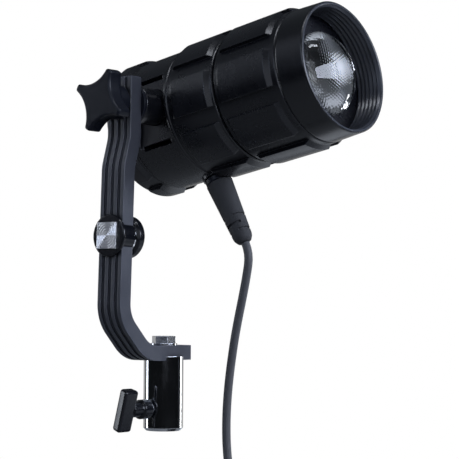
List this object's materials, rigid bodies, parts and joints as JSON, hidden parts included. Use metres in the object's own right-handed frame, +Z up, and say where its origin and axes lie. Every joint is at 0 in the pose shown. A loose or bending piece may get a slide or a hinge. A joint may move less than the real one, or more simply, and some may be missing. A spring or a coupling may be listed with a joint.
{
  "type": "follow spot",
  "caption": "Small follow spot head with a domed lens, turning focus ring and cord on a bent ribbed single-arm yoke with a star-knob tilt lock and a clamped stand socket.",
  "frame": {"origin": "centre of the stand socket's mouth", "axes": "+Z up along the socket's bore into the lamp, -Y the way the beam leaves, -X the side of the yoke's arm"},
  "size_m": [0.133, 0.1731, 0.4019],
  "materials": {
    "bar_black": "dark anodised extrusion",
    "chrome_plate": "bright plated",
    "steel": "zinc plated",
    "turned_steel": "turned face",
    "black_plastic": "satin moulded",
    "black_paint": "satin black powder coat",
    "lens_glass": "clear polished",
    "bulb_glass": "clear quartz",
    "reflector_mirror": "dimpled bright",
    "bare_aluminium": "natural",
    "ceramic_white": "steatite",
    "rubber_black": "matt"
  },
  "bodies": {
    "yoke": {"stand_socket": "chrome_plate", "yoke_bar": "bar_black", "foot_bolt": "chrome_plate", "foot_washer": "chrome_plate", "boss_collar": "black_plastic", "boss_bolt": "turned_steel", "boss_washer": "chrome_plate", "knob_washer": "steel", "cord": "rubber_black", "cord_coil": "rubber_black", "coil_tie": "black_plastic", "cord_tail": "rubber_black", "plug_boot": "rubber_black", "plug_shell": "bare_aluminium", "plug_insert": "black_plastic"},
    "clamp_screw": {"clamp_handle": "black_plastic", "clamp_stud": "steel"},
    "hand_nut": {"boss_nut": "black_plastic"},
    "tilt_knob": {"star_knob": "black_plastic", "star_insert": "steel"},
    "head": {"lamp_housing": "black_paint", "rear_cap": "black_paint", "heat_shield": "bare_aluminium", "terminal_block": "ceramic_white", "pivot_hub": "black_paint", "pivot_bolt": "steel", "hub_screws": "steel", "friction_washer": "rubber_black", "snap_ring": "steel", "gland_nut": "black_plastic", "strain_relief": "rubber_black"},
    "focus": {"focus_ring": "black_paint", "lens_hood": "black_paint", "lens_cell": "black_paint", "lens": "lens_glass", "lens_retainer": "black_paint"},
    "carriage": {"lamp_carriage": "bare_aluminium", "cam_pin": "steel", "reflector": "reflector_mirror", "lamp_holder": "ceramic_white", "lamp_bulb": "bulb_glass"}
  },
  "joints": [
    {"name": "head_tilt", "type": "hinge", "parent": "yoke", "child": "head", "pos_m": [-0.02, 0, 0.202], "axis": [-1, 0, 0], "range_deg": [-60, 60], "deforming": ["cord"]},
    {"name": "tilt_knob_turn", "type": "hinge", "parent": "yoke", "child": "tilt_knob", "pos_m": [-0.05, 0, 0.202], "axis": [-1, 0, 0], "continuous": true},
    {"name": "focus_turn", "type": "hinge", "parent": "head", "child": "focus", "pos_m": [0.0265, 0, 0.199], "axis": [0, -0.9823, 0.1874], "range_deg": [-35, 35]},
    {"name": "lamp_slide", "type": "slide", "parent": "head", "child": "carriage", "axis": [0, -0.9823, 0.1874], "range_m": [-0.008, 0.008]},
    {"name": "clamp_turn", "type": "hinge", "parent": "yoke", "child": "clamp_screw", "pos_m": [-0.02, 0, 0.014], "axis": [-1, 0, 0], "continuous": true},
    {"name": "hand_nut_turn", "type": "hinge", "parent": "yoke", "child": "hand_nut", "pos_m": [-0.04885, 0, 0.1204], "axis": [0.9994, 0, -0.034], "continuous": true}
  ],
  "couplings": [
    {"joint": "lamp_slide", "follows": "focus_turn", "m_per_rad": 0.013096}
  ]
}
